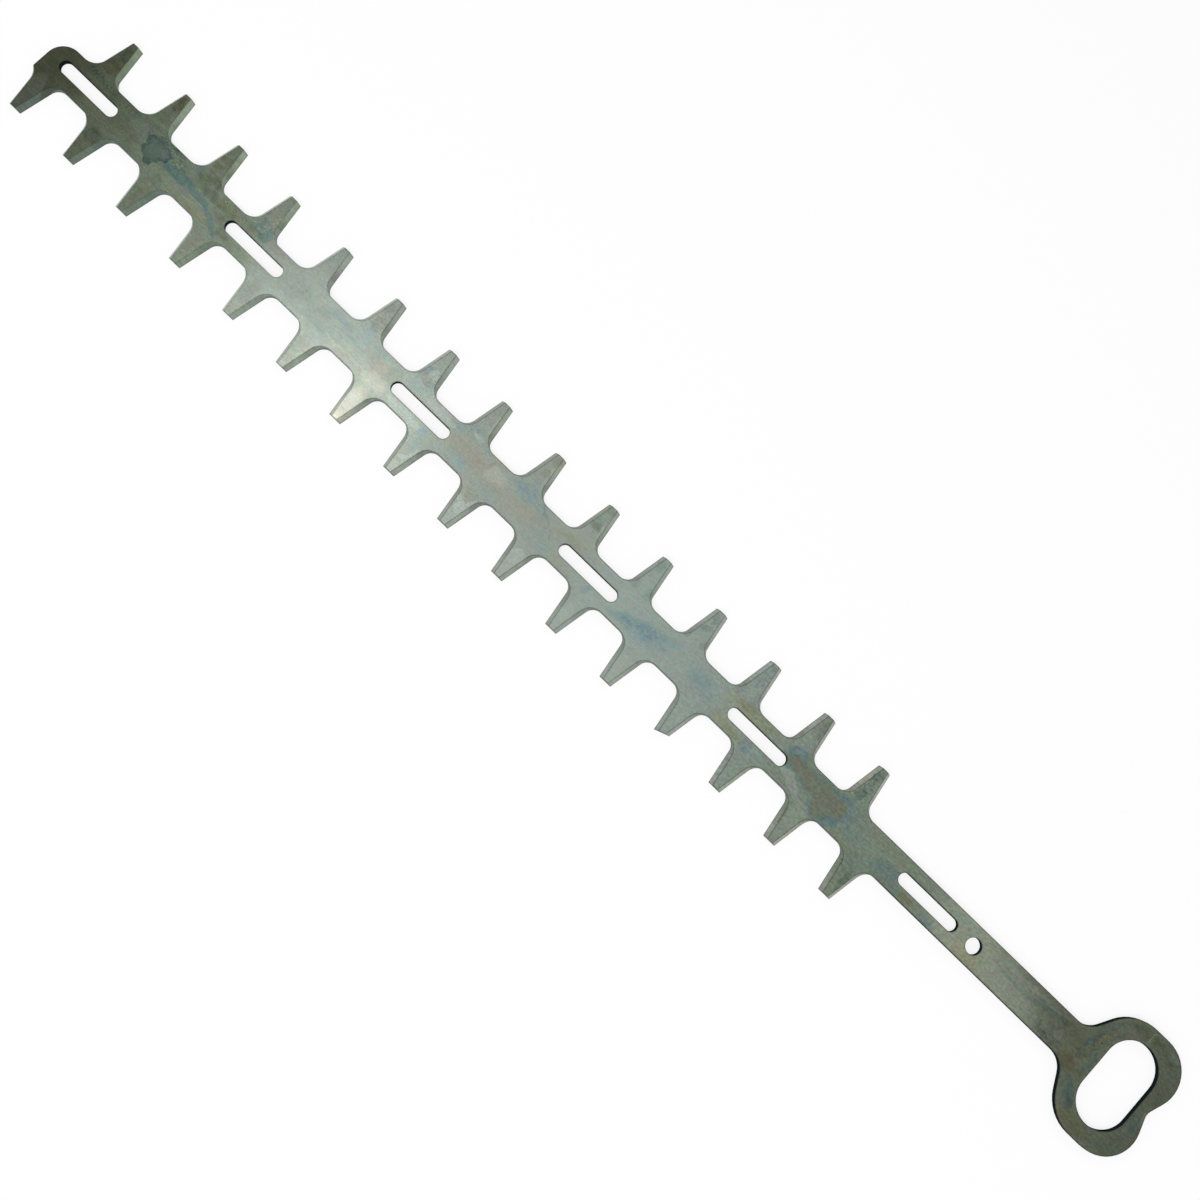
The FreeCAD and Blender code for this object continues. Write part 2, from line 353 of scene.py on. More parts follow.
# Brown sap films
BROWN_STAINS = (
    Stain(-18, -10, 2.4, 6, 10, 0.2),
    Stain(-9, -25.5, 6, 1.4, -20, 0.5),
    Stain(3, -27, 10, 1.4, 4, 0.6),
    Stain(4, 28.5, 12, 2, 0, 0.5),
    Stain(18, -13, 1.4, 6, -28, 0.15),
    Stain(22, 1, 4, 2.6, 0, 0.4),
    Stain(24, 8, 5, 2.6, -20, 0.4),
    Stain(27, -2, 3, 5, 30, 0.4),
    Stain(33, -3, 6, 4, 15, 0.5),
    Stain(43, 4, 3, 4, 0, 0.45),
    Stain(128, 6.4, 4, 2, 0, 0.5),
    Stain(157, 20, 3.4, 9, 0, 0.5),
    Stain(208, -20, 2, 2.4, 0, 0.5),
    Stain(209, -26, 2.2, 3, 0, 0.6),
    Stain(240, 6.4, 6, 1.8, 0, 0.3),
    Stain(241, -7.5, 5, 2, 5, 0.6),
    Stain(350, -18, 3.4, 2.4, 0, 0.65),
    Stain(350, -28, 2.6, 2, 0, 0.6),
    Stain(354, -6, 6, 2.2, 0, 0.3),
    Stain(384, -20, 3, 2.4, 0, 0.6),
    Stain(384, -27, 2.6, 2.6, 0, 0.5),
    Stain(402, 11, 4, 2.6, 0, 0.4),
    Stain(489, -15, 3.4, 4, 0, 0.5),
    Stain(491, -25, 2.4, 3, 0, 0.45),
    Stain(507, 21, 3.6, 12, 0, 0.45),
    Stain(542, 20, 4, 13, 0, 0.45),
    Stain(562, 6.4, 9, 2.4, 0, 0.55),
    Stain(563, -5.4, 8, 2.6, 0, 0.6),
    Stain(572, 6, 5, 2.6, 0, 0.5),
    Stain(574, 0, 4, 7, 0, 0.5),
    Stain(577, 20, 2, 10, -5, 0.2),
    Stain(580, -4.4, 9, 3.4, 0, 0.65),
    Stain(589, -5, 5, 3, 0, 0.8),
    Stain(592, -8, 6.5, 4.6, 0, 1.0),
    Stain(593, -19, 4.4, 13, 0, 0.8),
    Stain(627, -18, 5, 14, 0, 0.3),
    Stain(629.8, -25, 2.4, 4.6, 0, 1.0),
    Stain(640, 3, 9, 5, 0, 0.25),
    Stain(646, 15, 4.2, 4.4, 0, 1.0),
    Stain(664, -16, 3.6, 5.5, 0, 0.8),
    Stain(665, -25.5, 2, 2.6, 0, 0.6),
    Stain(684, 8, 5, 7, 0, 0.35),
)

# Pinkish films
ROSE_STAINS = (
    Stain(17.5, -12, 2, 8, -28, 1.0),
    Stain(24, 8, 6, 2.6, -20, 0.7),
    Stain(142, 8, 8, 2, 0, 0.9),
    Stain(296, 20, 4, 10, 0, 0.5),
    Stain(331, 22, 4, 9, 0, 0.5),
    Stain(378, 1, 14, 6, 10, 0.6),
    Stain(385, -20, 4, 8, 0, 0.5),
    Stain(394, 3, 18, 6, 0, 0.6),
    Stain(414, -1, 18, 6, 0, 0.9),
    Stain(437, 24, 4, 9, 0, 0.4),
    Stain(455, -12, 5, 3, 0, 0.7),
    Stain(475, -2, 12, 5, 0, 0.9),
    Stain(489, 6, 16, 3, 0, 0.7),
    Stain(489, -20, 4, 7, 0, 0.6),
    Stain(522, -1, 18, 6, 0, 0.4),
    Stain(548, -6.2, 6, 2.4, 0, 0.9),
    Stain(559, -19, 4, 8, 0, 0.7),
    Stain(577, 20, 4, 11, 0, 0.5),
    Stain(588, 7, 14, 3.4, 0, 0.8),
    Stain(594, -20, 4, 8, 0, 0.5),
    Stain(602, 5.6, 14, 3.6, 0, 0.3),
    Stain(611, 21, 4, 10, 0, 0.8),
    Stain(629.6, -26, 3, 5, 0, 0.9),
    Stain(664, -17, 4, 8, 0, 0.5),
)

# Dark mottles
DARK_STAINS = (
    Stain(-17, 10, 1.6, 5, 10, 0.3),
    Stain(12, 22, 2, 4, 45, 0.4),
    Stain(17, 9, 3, 3, 0, 0.5),
    Stain(19, -2, 1.2, 5, -15, 0.5),
    Stain(27, 10, 5, 1.2, -25, 0.5),
    Stain(34, 6, 3, 1.4, 20, 0.4),
    Stain(36, -5, 7, 1.2, 0, 0.5),
    Stain(38.8, 2.4, 0.7, 3, 10, 0.45),
    Stain(40, 6.6, 1.6, 1.8, 0, 0.65),
    Stain(42, 6.8, 3, 0.9, 0, 0.5),
    Stain(45.5, 5, 0.9, 3.4, 0, 0.6),
    Stain(155, 21, 1.4, 5, 0, 0.45),
    Stain(175, -26, 2, 3.4, 0, 0.5),
    Stain(176.5, -15, 2, 5, 5, 0.4),
    Stain(204, -9, 2, 3, 0, 0.5),
    Stain(207, -5.5, 3, 1.2, 15, 0.6),
    Stain(241, -12, 2, 3, 0, 0.35),
    Stain(244.6, -29, 2, 1.6, 0, 0.5),
    Stain(250, -12, 2, 3, 0, 0.35),
    Stain(275.4, -12.6, 2, 3, 0, 0.35),
    Stain(279.6, -26, 2.4, 3, 0, 0.5),
    Stain(280, -20, 3, 1.4, 24, 0.5),
    Stain(285, -12.6, 2, 3, 0, 0.35),
    Stain(310, -12.6, 2, 3, 0, 0.35),
    Stain(315, -26, 2.6, 3.6, 0, 0.35),
    Stain(319, -12.6, 2, 3, 0, 0.35),
    Stain(350, -21, 3, 6, 0, 0.25),
    Stain(362.6, -0.4, 3.6, 0.8, -56, 0.4),
    Stain(370.5, -5.6, 6, 0.8, -28, 0.4),
    Stain(404.4, -4.6, 2.6, 0.9, 60, 0.35),
    Stain(466, -3, 4, 4, 0, 0.25),
    Stain(516, 1, 26, 7, 0, 0.15),
    Stain(556, -7, 2, 3, 0, 0.2),
    Stain(570.4, 5.6, 3.6, 3, 0, 0.45),
    Stain(577, -1.6, 6, 4, 0, 0.4),
    Stain(590, -3.6, 7, 2.4, 0, 0.3),
    Stain(592, -8, 6.4, 4.4, 0, 0.4),
    Stain(600, -3, 6, 2, 0, 0.15),
    Stain(611, 20, 5, 13, 0, 0.25),
    Stain(616, -8, 9, 1.4, 0, 0.6),
    Stain(621, 4.6, 2.2, 1.4, 0, 0.5),
    Stain(629.6, -25, 2.2, 4.4, 0, 0.5),
)

# Cleaner spots and strips
PALE_STAINS = (
    Stain(-19, 3, 1.4, 4, 15, 0.4),
    Stain(-17, 9, 3, 6, 0, 0.12),
    Stain(-12, -28, 4, 0.9, -25, 0.25),
    Stain(0, 29, 14, 2.6, 0, 0.15),
    Stain(1.6, -27, 0.7, 4, 4, 0.4),
    Stain(22, -6, 1.2, 1.4, 0, 0.3),
    Stain(35.8, 1.8, 2.4, 2.2, 0, 0.17),
    Stain(36, 3, 1.2, 1, 0, 0.2),
    Stain(42, 2.4, 3, 2.6, 0, 0.14),
    Stain(60, -5.5, 20, 1.2, 0, 0.25),
    Stain(62, 3, 14, 3, 0, 0.25),
    Stain(171, -22, 1.4, 8, 0, 0.25),
    Stain(174, -1, 2, 5, 8, 0.25),
    Stain(178.8, -20, 1.6, 9, 0, 0.35),
    Stain(191, 14, 3.6, 9, 0, 0.3),
    Stain(192, 25, 4, 7, 0, 0.2),
    Stain(203, 4.5, 10, 2.4, -24, 0.5),
    Stain(206, -20, 1.4, 8, 0, 0.2),
    Stain(209.4, -15, 3, 7, 0, 0.3),
    Stain(213.4, -18, 1.4, 9, 0, 0.25),
    Stain(226, 6.6, 7, 2, 0, 0.15),
    Stain(297, 23, 4.4, 9, 0, 0.2),
    Stain(332, 24, 4.4, 9, 0, 0.25),
    Stain(346, -22, 1.6, 8, 0, 0.3),
    Stain(366, 18, 4, 4, 20, 0.45),
    Stain(367, 25, 4.4, 8, 0, 0.3),
    Stain(380.8, -22, 1.6, 8, 0, 0.35),
    Stain(398.8, 21, 1.8, 10, 0, 0.5),
    Stain(400, -2.4, 5.4, 3.4, 20, 0.16),
    Stain(402, 19.5, 2.4, 4, 0, 0.6),
    Stain(402, 25, 4.4, 8, 0, 0.25),
    Stain(405, 16, 1.2, 1.6, 0, 0.5),
    Stain(415.8, -22, 1.6, 8, 0, 0.35),
    Stain(418, -9.5, 3, 0.8, 10, 0.5),
    Stain(433.4, 22, 1.6, 9, 0, 0.4),
    Stain(436.5, 21, 2.2, 1.2, 0, 0.6),
    Stain(437, 27.5, 2.6, 4, 0, 0.4),
    Stain(438.5, -6, 9.5, 2.4, 0, 0.5),
    Stain(451, 6.5, 11, 2.4, 0, 0.6),
    Stain(453, -17, 2.1, 3, 0, 0.65),
    Stain(490, 5.2, 14, 0.7, 0, 0.5),
    Stain(557, -12, 0.9, 1.1, 0, 0.6),
    Stain(559, -5, 1.4, 0.8, 0, 0.5),
    Stain(559, -20, 3.6, 9, 0, 0.3),
    Stain(560.5, -8, 0.9, 0.9, 0, 0.8),
    Stain(577, 20, 4, 11, 0, 0.15),
    Stain(585, -8.4, 1.2, 0.9, 0, 0.4),
    Stain(589, -7, 1.6, 1.6, 0, 0.6),
    Stain(592.8, 7.8, 0.4, 1.6, -5, 0.4),
    Stain(594, -19, 4, 9, 0, 0.12),
    Stain(594.4, 7.6, 0.4, 2, 5, 0.5),
    Stain(600, 4.6, 12, 2.6, 0, 0.4),
    Stain(640, 6, 10, 2.4, 0, 0.1),
    Stain(681.5, 20, 4.6, 13, 5, 0.3),
)

# Painted highlights: warm glints
GOLD_HIGHLIGHTS = (
    Stain(17.6, -12.4, 2.2, 6.5, -28, 0.13),
    Stain(93, 6, 9, 3, 0, 0.15),
    Stain(399.6, -2, 5.6, 3.6, 0, 0.16),
    Stain(471, 6, 7, 4.6, 0, 0.45),
    Stain(471.5, 30, 2.6, 4, 0, 0.9),
    Stain(472, 22, 4.4, 13, 0, 0.62),
)


class BladeStage(bpy.types.PropertyGroup):
    """Floor, light and camera around the blade."""

    floor_size: FloatProperty(
        name="Floor size", description="Side of the square floor", unit="LENGTH", min=1.0, default=30.0)
    floor_colour: FloatVectorProperty(
        name="Floor colour", description="Pale matt floor",
        subtype="COLOR", min=0.0, max=1.0, default=(0.97, 0.97, 0.97))
    floor_glow: FloatProperty(
        name="Floor glow", description="Share of the floor that shows plain white whatever shades it",
        subtype="FACTOR", min=0.0, max=1.0, default=0.78)
    horizon_light: FloatProperty(
        name="Horizon light", description="Strength of the pale light around the stage",
        min=0.0, default=1.2)
    ceiling_light: FloatProperty(
        name="Ceiling light", description="Strength of the dim light overhead", min=0.0, default=0.32)
    camera_place: FloatVectorProperty(
        name="Camera place", description="Where the camera stands",
        subtype="TRANSLATION", unit="LENGTH", default=(0.31134, 0.08356, 0.60034))
    camera_aim: FloatVectorProperty(
        name="Camera aim", description="The point of the floor at the picture's centre",
        subtype="TRANSLATION", unit="LENGTH", default=(0.32487, 0.00485, 0.0))
    camera_turn: FloatProperty(
        name="Camera turn", description="Direction on the floor that is upright in the picture, from +X",
        subtype="ANGLE", default=math.radians(-46.04))
    camera_angle: FloatProperty(
        name="Camera angle", description="Angle that the camera takes in",
        subtype="ANGLE", min=0.1, max=2.0, default=math.radians(49.48))


class Softbox(NamedTuple):
    """A rectangular lamp: place and sides in metres, tilt about X in degrees, strength as brightness."""

    name: str
    place: tuple
    tilt: float
    width: float
    depth: float
    strength: float


SOFTBOXES = (
    Softbox("key_softbox", (0.95, 0.2, 1.5), 0.0, 0.36, 0.9, 3.4),
    Softbox("fill_softbox", (0.42, 0.05, 1.5), 0.0, 0.66, 1.2, 1.15),
    Softbox("heel_softbox", (-0.35, -0.1, 1.5), 0.0, 0.84, 1.4, 0.6),
    Softbox("side_softbox", (0.33, 0.9, 1.45), -32.0, 1.4, 0.9, 2.6),
)


def add_softbox(box):
    """A soft rectangular lamp of an even brightness that shines down, or aslant where it is tilted."""
    lamp = bpy.data.lights.new(box.name, "AREA")
    lamp.shape = "RECTANGLE"
    lamp.size, lamp.size_y = box.width, box.depth
    lamp.energy = box.strength * math.pi * box.width * box.depth
    made = bpy.data.objects.new(box.name, lamp)
    made.location = box.place
    made.rotation_euler.x = math.radians(box.tilt)
    bpy.context.scene.collection.objects.link(made)


# Noise scales of the finish, per metre
TONE_SCALE = 60.0
BORDER_SCALE = 110.0
RAGGED_SCALE = 420.0
CLOUD_SCALE = 230.0
SPECK_SCALE = 760.0
MOTTLE_SCALE = 130.0
FLECK_SCALE = 1000.0
SHADE_SCALE = 800.0
GLOSS_SCALE = 140.0
FINE_GRAIN_SCALE = (110.0, 1300.0, 0.0)
BROAD_GRAIN_SCALE = (22.0, 300.0, 0.0)

# Shrinks the blade's length in the noise of the flecks, so that they come out longer than wide
FLECK_STRETCH = (0.65, 1.0, 0.0)

# The middle of a noise, as a number and as a colour
NOISE_MIDDLE = 0.5
NOISE_CENTRE = (0.5, 0.5, 0.5)

# How far noise moves the borders of the tones and the stains
TONE_STRAY = 20 * MM
BORDER_STRAY = 4.5 * MM
RAGGED_STRAY = 2.8 * MM

# Stretches along the blade, from and to, over which each look sets in
TOOTH_GAPS_BEGIN = (130 * MM, 150 * MM)
HEEL_MOTTLES_BEGIN = (300 * MM, 220 * MM)
BAR_BEVELS_BEGIN = (250 * MM, 330 * MM)
FAINT_LINES_BEGIN = (460 * MM, 560 * MM)
NOSE_MOTTLES_BEGIN = (540 * MM, 570 * MM)
NOSE_BEVELS_BEGIN = (540 * MM, 620 * MM)

# Stretches across the blade, from and to, over which each look sets in
# Painted shade on the bevels of the +Y side by the nose
LEE_BEVEL_SHADE_BEGIN = (0.0, 10 * MM)
TOOTH_GAPS_SIDE = (5 * MM, 8 * MM)
# Painted shade on the bevels next to the bar
ROOT_BEVEL_SHADE_BEGIN = (24 * MM, 11 * MM)

# How upright a normal is where the face passes into bevels, and bevels into walls
BEVEL_LEVEL = (0.94, 0.88)
WALL_LEVEL = (0.5, 0.2)

# Strengths of the grinding lines, flecks, shades and clouds in the steel's colour
FINE_GRAIN_SHARE = 0.55
LINE_GAIN = 0.36
FLECK_GAIN = (0.4, 0.72)
SHADE_GAIN = (0.3, 0.8)
CLOUD_GAIN = (0.17, 0.14, 0.16)

# What patches, grinding lines and walls add to the roughness
PATCH_ROUGHNESS = (-0.012, 0.015)
LINE_ROUGHNESS = 0.12
WALL_ROUGHNESS = 0.3

# Levels of noise over which clouds, specks and rough patches set in
CLOUD_SPAN = (0.34, 0.62)
SPECK_SPAN = (0.47, 0.6)
GLOSS_SPAN = (0.3, 0.7)

# Least and full cover of a film that clouds break up
CLOUD_COVER = (0.45, 1.0)

# How far the paler shank's border slants across the blade
SHANK_SLANT = 1.3

# A reach that lies outside every stain
FAR_OUT = 10.0

# Dark lines on the edges: cosines of the rounded normal's turn, and strengths on the bar and at the nose
EDGE_TURN = (0.9985, 0.972)
EDGE_STRENGTH = (0.75, 0.4)
EDGE_SAMPLES = 8


class BLADE_OT_dress_steel(bpy.types.Operator):
    """Gives the blade its ground and stained steel"""

    bl_idname = "blade.dress_steel"
    bl_label = "Dress the steel"

    def execute(self, context):
        sizes = context.scene.blade_steel
        steel = bpy.data.materials.new("ground_steel")
        steel.use_nodes = True
        tree = ShaderTree(steel.node_tree)
        flat = tree.vector("MULTIPLY", tree.node("TexCoord").outputs["Object"], (1.0, 1.0, 0.0))
        along = tree.parts(flat)["X"]
        normal = tree.node("NewGeometry").outputs["True Normal"]
        level = tree.math("ABSOLUTE", tree.parts(normal)["Z"])
        grain = self.grain_lines(tree, flat)
        colour = self.tone(tree, sizes, flat)
        colour = self.stain(tree, sizes, flat, colour)
        colour = self.bevel(tree, sizes, level, flat, colour)
        colour = self.mottle(tree, flat, along, grain, colour)
        edge = self.edge_line(tree, sizes, normal, along)
        colour = tree.blend(edge, colour, (*sizes.edge_tint, 1.0), "MULTIPLY")
        wall = tree.ramp(level, *WALL_LEVEL)
        gap = self.between_teeth(tree, flat)
        # Wall colour, partly oxide and partly painted shade; the walls between the teeth are ground
        oxide = tree.blend(gap, (*sizes.wall_oxide_and_shade, 1.0), (*sizes.gap_colour, 1.0))
        colour = tree.blend(wall, colour, oxide)
        # Walls other than the tooth gaps, where the mirrored glance is darkened as painted shade
        dark = tree.math("MULTIPLY", wall, tree.math("SUBTRACT", 1.0, gap))
        rough = self.gloss(tree, sizes, flat, grain, wall)
        bump = tree.node("Bump", {"Strength": 1.0, "Distance": sizes.grain_depth, "Height": grain})
        surface = tree.node("BsdfPrincipled", {
            "Base Color": colour, "Metallic": 1.0, "Roughness": rough, "Normal": bump.outputs[0],
            "Specular Tint": tree.blend(dark, (1.0, 1.0, 1.0, 1.0), (*sizes.wall_glance_shade, 1.0))})
        tree.node("OutputMaterial", {"Surface": surface.outputs[0]})
        BLADE.data.materials.clear()
        BLADE.data.materials.append(steel)
        return {"FINISHED"}

    def grain_lines(self, tree, flat):
        """Grinding lines that run along the blade."""
        fine = tree.noise(tree.vector("MULTIPLY", flat, FINE_GRAIN_SCALE), 1.0)
        broad = tree.noise(tree.vector("MULTIPLY", flat, BROAD_GRAIN_SCALE), 1.0)
        fine = tree.math("MULTIPLY", fine, FINE_GRAIN_SHARE)
        return tree.math("ADD", fine, tree.math("MULTIPLY", broad, 1.0 - FINE_GRAIN_SHARE))

    def stray(self, tree, flat, scale, reach):
        """The place moved about by noise, so that borders wander."""
        drift = tree.vector("SUBTRACT", tree.noise(flat, scale, output="Color"), NOISE_CENTRE)
        return tree.vector("ADD", flat, tree.vector("MULTIPLY", drift, (reach, reach, 0.0)))

    def tone(self, tree, sizes, flat):
        """The colour along the blade, partly the steel's own tone and partly painted sheen and shade:
        lighter through the middle, darker toward both ends. Each row brings in the next one between two
        places in millimetres.
        """
        places = tree.parts(self.stray(tree, flat, TONE_SCALE, TONE_STRAY))
        along = places["X"]
        slanted = tree.math("ADD", along, tree.math("MULTIPLY", places["Y"], SHANK_SLANT))
        colour = (*sizes.eye_colour, 1.0)
        for place, begin, end, over in (
            (along, 17, 26, sizes.neck_colour),
            (slanted, 40, 80, sizes.shank_colour),
            (along, 106, 124, sizes.heel_colour),
            (along, 196, 248, sizes.bar_colour),
            (along, 328, 350, sizes.dull_colour),
            (along, 428, 446, sizes.bright_tone_and_sheen),
            (along, 547, 556, sizes.worn_colour),
            (along, 570, 594, sizes.fore_colour),
            (along, 620, 654, sizes.nose_colour),
            (along, 656, 680, sizes.tip_colour),
        ):
            colour = tree.blend(tree.ramp(place, begin * MM, end * MM), colour, (*over, 1.0))
        return colour

    def turned(self, tree, place, degrees):
        """The place seen in axes turned about the upright."""
        turn = math.radians(degrees)
        along = tree.vector("DOT_PRODUCT", place, (math.cos(turn), math.sin(turn), 0.0))
        across = tree.vector("DOT_PRODUCT", place, (-math.sin(turn), math.cos(turn), 0.0))
        return tree.node("CombineXYZ", {0: along, 1: across}).outputs[0]

    def stain_reach(self, tree, place, stain):
        """How far out a place lies from a stain's centre, with 1 at its border."""
        centre = Matrix.Rotation(-math.radians(stain.turn), 2) @ Vector((stain.x, stain.y))
        grow = (1.0 / (stain.half_length * MM), 1.0 / (stain.half_width * MM), 0.0)
        shift = (-centre.x / stain.half_length, -centre.y / stain.half_width, 0.0)
        axes = self.turned(tree, place, stain.turn) if stain.turn else place
        moved = tree.node("VectorMath", {0: axes, 1: grow, 2: shift}, operation="MULTIPLY_ADD")
        return tree.vector("LENGTH", moved.outputs["Vector"])

    def stain_group(self, tree, place, name, join):
        """The output of a new node group that joins a kind of stains into one number for each place."""
        group = bpy.data.node_groups.new(name, "ShaderNodeTree")
        group.interface.new_socket("Place", in_out="INPUT", socket_type="NodeSocketVector")
        group.interface.new_socket("Joined", in_out="OUTPUT", socket_type="NodeSocketFloat")
        inner = ShaderTree(group)
        begin = group.nodes.new("NodeGroupInput")
        joined = join(inner, begin.outputs[0])
        inner.feed(group.nodes.new("NodeGroupOutput").inputs[0], joined)
        made = tree.node("Group", node_tree=group)
        tree.feed(made.inputs[0], place)
        return made.outputs[0]

    def stain_mask(self, tree, place, name, stains, outer, inner):
        """Where a kind of stains covers the steel, fading between two reaches."""
        def join(part, spot):
            covered = 0.0
            for stain in stains:
                fade = part.ramp(self.stain_reach(part, spot, stain), outer, inner, at_end=stain.strength)
                covered = part.math("MAXIMUM", covered, fade)
            return covered
        return self.stain_group(tree, place, name, join)

    def patch_reach(self, tree, place, name, stains):
        """How far out a place lies from a patch made of several stains, with 1 at its border."""
        def join(part, spot):
            nearest = FAR_OUT
            for stain in stains:
                nearest = part.math("MINIMUM", nearest, self.stain_reach(part, spot, stain))
            return nearest
        return self.stain_group(tree, place, name, join)

    def stain(self, tree, sizes, flat, colour):
        """Films, spots and patches over the steel, and painted warm highlights, with ragged borders."""
        wandering = self.stray(tree, flat, BORDER_SCALE, BORDER_STRAY)
        place = self.stray(tree, wandering, RAGGED_SCALE, RAGGED_STRAY)
        cloud = tree.ramp(tree.noise(flat, CLOUD_SCALE, detail=4.0), *CLOUD_SPAN, *CLOUD_COVER)
        specks = tree.ramp(tree.noise(flat, SPECK_SCALE, detail=3.0), *SPECK_SPAN)
        for name, stains, tint, mode, outer, inner, broken in (
            ("rose", ROSE_STAINS, sizes.rose_tint, "MULTIPLY", 1.3, 0.2, None),
            ("sap", SAP_STAINS, sizes.sap_tint, "MULTIPLY", 1.3, 0.4, None),
            ("pale", PALE_STAINS, sizes.pale_colour, "MIX", 1.1, 0.86, None),
            # Painted highlights: warm glints mixed over the steel
            ("gold_highlight", GOLD_HIGHLIGHTS, sizes.gold_highlight_colour, "MIX", 1.3, 0.6, None),
            ("brown", BROWN_STAINS, sizes.brown_tint, "MULTIPLY", 1.2, 0.7, cloud),
            ("haze", HAZE_STAINS, sizes.blue_tint, "MULTIPLY", 1.25, 0.2, cloud),
            ("bloom", BLOOM_STAINS, sizes.bloom_tint, "MULTIPLY", 1.3, 0.3, cloud),
            ("dark", DARK_STAINS, sizes.dark_tint, "MULTIPLY", 1.15, 0.75, cloud),
            ("speck", SPECK_STAINS, sizes.speck_tint, "MULTIPLY", 1.2, 0.6, specks),
        ):
            mask = self.stain_mask(tree, place, name, stains, outer, inner)
            share = tree.math("MULTIPLY", mask, broken) if broken else mask
            colour = tree.blend(share, colour, (*tint, 1.0), mode)
        colour = self.crisp_film(tree, sizes, place, cloud, colour)
        colour = self.scale_patch(tree, sizes, place, cloud, colour)
        return self.tarnish_patch(tree, sizes, place, cloud, colour)

    def crisp_film(self, tree, sizes, place, cloud, colour):
        """Blue films with a dark rim where they thin out."""
        mask = self.stain_mask(tree, place, "blue", BLUE_STAINS, outer=1.12, inner=0.78)
        share = tree.math("MULTIPLY", mask, cloud)
        colour = tree.blend(share, colour, (*sizes.blue_tint, 1.0), "MULTIPLY")
        covered = tree.ramp(mask, begin=0.04, end=0.16, at_end=0.35)
        rim = tree.math("MULTIPLY", covered, tree.ramp(share, begin=0.45, end=0.2))
        return tree.blend(rim, colour, (*sizes.speck_tint, 1.0), "MULTIPLY")

    def scale_patch(self, tree, sizes, place, cloud, colour):
        """The dark patch before the nose, with its blue-black rim."""
        reach = self.patch_reach(tree, place, "scale", SCALE_STAINS)
        film = tree.ramp(reach, begin=1.08, end=0.94, at_end=0.85)
        rim = tree.math("MULTIPLY", film, tree.ramp(reach, begin=0.55, end=0.95, at_end=0.95))
        rim = tree.math("MULTIPLY", rim, cloud)
        colour = tree.blend(film, colour, (*sizes.scale_tint, 1.0), "MULTIPLY")
        return tree.blend(rim, colour, (*sizes.speck_tint, 1.0), "MULTIPLY")

    def tarnish_patch(self, tree, sizes, place, cloud, colour):
        """The brown patch of burnt sap by the heel, in its blue halo."""
        reach = self.patch_reach(tree, place, "tarnish", TARNISH_STAINS)
        halo = tree.math("MULTIPLY", tree.ramp(reach, begin=1.5, end=1.12), cloud)
        colour = tree.blend(halo, colour, (*sizes.blue_tint, 1.0), "MULTIPLY")
        thickness = tree.ramp(cloud, *CLOUD_COVER, at_begin=0.66)
        core = tree.math("MULTIPLY", tree.ramp(reach, begin=1.08, end=0.96), thickness)
        return tree.blend(core, colour, (*sizes.tarnish_colour, 1.0))

    def mottle(self, tree, flat, along, grain, colour):
        """Small changes of colour all over, stronger toward both ends, and the grinding lines."""
        clouds = tree.noise(flat, MOTTLE_SCALE, detail=4.0, output="Color")
        clouds = tree.vector("MULTIPLY", tree.vector("SUBTRACT", clouds, NOISE_CENTRE), CLOUD_GAIN)
        heel = tree.ramp(along, *HEEL_MOTTLES_BEGIN)
        ends = tree.math("MAXIMUM", heel, tree.ramp(along, *NOSE_MOTTLES_BEGIN))
        stretched = tree.vector("MULTIPLY", flat, FLECK_STRETCH)
        flecks = tree.noise(stretched, FLECK_SCALE, output="Color")
        strength = tree.grey(tree.ramp(ends, 0.0, 1.0, *FLECK_GAIN))
        flecks = tree.vector("MULTIPLY", tree.vector("SUBTRACT", flecks, NOISE_CENTRE), strength)
        shades = tree.math("SUBTRACT", tree.noise(stretched, SHADE_SCALE, detail=4.0), NOISE_MIDDLE)
        shades = tree.math("MULTIPLY", shades, tree.ramp(heel, 0.0, 1.0, *SHADE_GAIN))
        lines = tree.math("MULTIPLY", tree.math("SUBTRACT", grain, NOISE_MIDDLE), LINE_GAIN)
        gain = tree.math("ADD", tree.math("ADD", lines, shades), 1.0)
        gain = tree.vector("ADD", clouds, tree.grey(gain))
        return tree.vector("MULTIPLY", colour, tree.vector("ADD", gain, flecks))

    def bevel(self, tree, sizes, level, flat, colour):
        """The ground bevels, tinted as painted reflection and shade: lighter than the face by the heel,
        cooler by the nose, darker at the roots.
        """
        places = tree.parts(flat)
        bar = tree.ramp(places["X"], *BAR_BEVELS_BEGIN)
        tint = tree.blend(bar, (*sizes.heel_bevel_sheen, 1.0), (*sizes.bar_bevel_sheen, 1.0))
        nose = tree.ramp(places["X"], *NOSE_BEVELS_BEGIN)
        tint = tree.blend(nose, tint, (*sizes.nose_bevel_sheen, 1.0))
        lee_shade = tree.math("MULTIPLY", nose, tree.ramp(places["Y"], *LEE_BEVEL_SHADE_BEGIN))
        tint = tree.blend(lee_shade, tint, (*sizes.lee_bevel_shade, 1.0), "MULTIPLY")
        root_shade = tree.ramp(tree.math("ABSOLUTE", places["Y"]), *ROOT_BEVEL_SHADE_BEGIN)
        tint = tree.blend(root_shade, tint, (*sizes.root_bevel_shade, 1.0), "MULTIPLY")
        return tree.blend(tree.ramp(level, *BEVEL_LEVEL), colour, tint, "MULTIPLY")

    def between_teeth(self, tree, flat):
        """Where the walls of the tooth gaps lie."""
        places = tree.parts(flat)
        outside = tree.ramp(tree.math("ABSOLUTE", places["Y"]), *TOOTH_GAPS_SIDE)
        return tree.math("MULTIPLY", outside, tree.ramp(places["X"], *TOOTH_GAPS_BEGIN))

    def edge_line(self, tree, sizes, normal, along):
        """Dark lines along the edges of the face, the bevels and the walls, fainter at the nose."""
        rounded = tree.node("Bevel", {"Radius": sizes.edge_width}, samples=EDGE_SAMPLES).outputs[0]
        line = tree.ramp(tree.vector("DOT_PRODUCT", rounded, normal), *EDGE_TURN)
        return tree.math("MULTIPLY", line, tree.ramp(along, *FAINT_LINES_BEGIN, *EDGE_STRENGTH))

